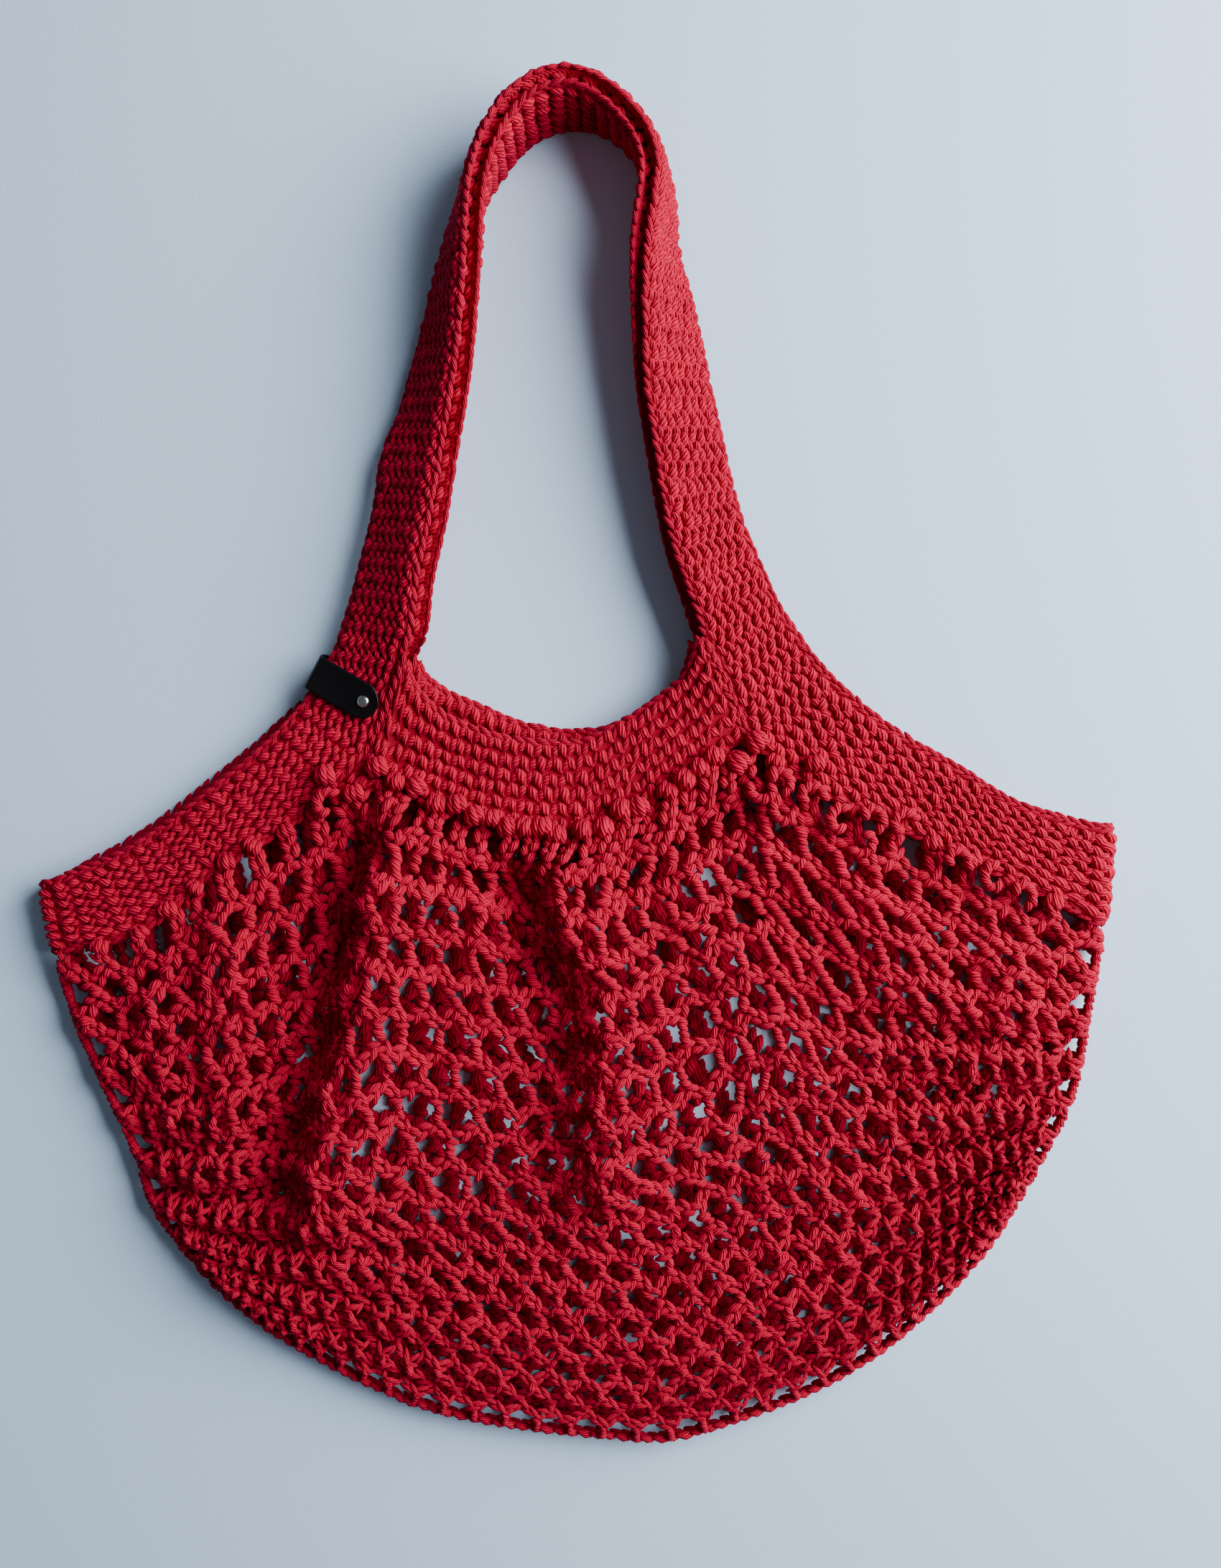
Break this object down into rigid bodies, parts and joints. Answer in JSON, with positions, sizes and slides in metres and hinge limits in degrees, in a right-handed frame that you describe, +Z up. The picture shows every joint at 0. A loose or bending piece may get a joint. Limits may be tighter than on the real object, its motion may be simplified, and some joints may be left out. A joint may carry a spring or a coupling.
{
  "type": "mesh market bag",
  "caption": "Crocheted mesh market bag lying flat, with open net body, shoulder handles laid out above it and a small riveted leather label.",
  "frame": {"origin": "middle of the bag's length and width, on the surface that it lies on", "axes": "+Z up from the surface to the seen side, +Y from the net's foot towards the handles, +X to the right as seen from above"},
  "size_m": [0.4734, 0.5925, 0.0395],
  "materials": {
    "net_yarn": "matt mercerised cotton yarn, open crocheted mesh",
    "strap_yarn": "matt cotton yarn, dense single crochet",
    "leather": "black grained leather, satin",
    "rivet_metal": "nickel, satin"
  },
  "bodies": {
    "root": {"net_front": "net_yarn", "net_back": "net_yarn", "strap_loop": "strap_yarn", "yoke_front": "strap_yarn", "yoke_back": "strap_yarn", "leather_label": "leather", "label_rivet": "rivet_metal"}
  },
  "joints": []
}
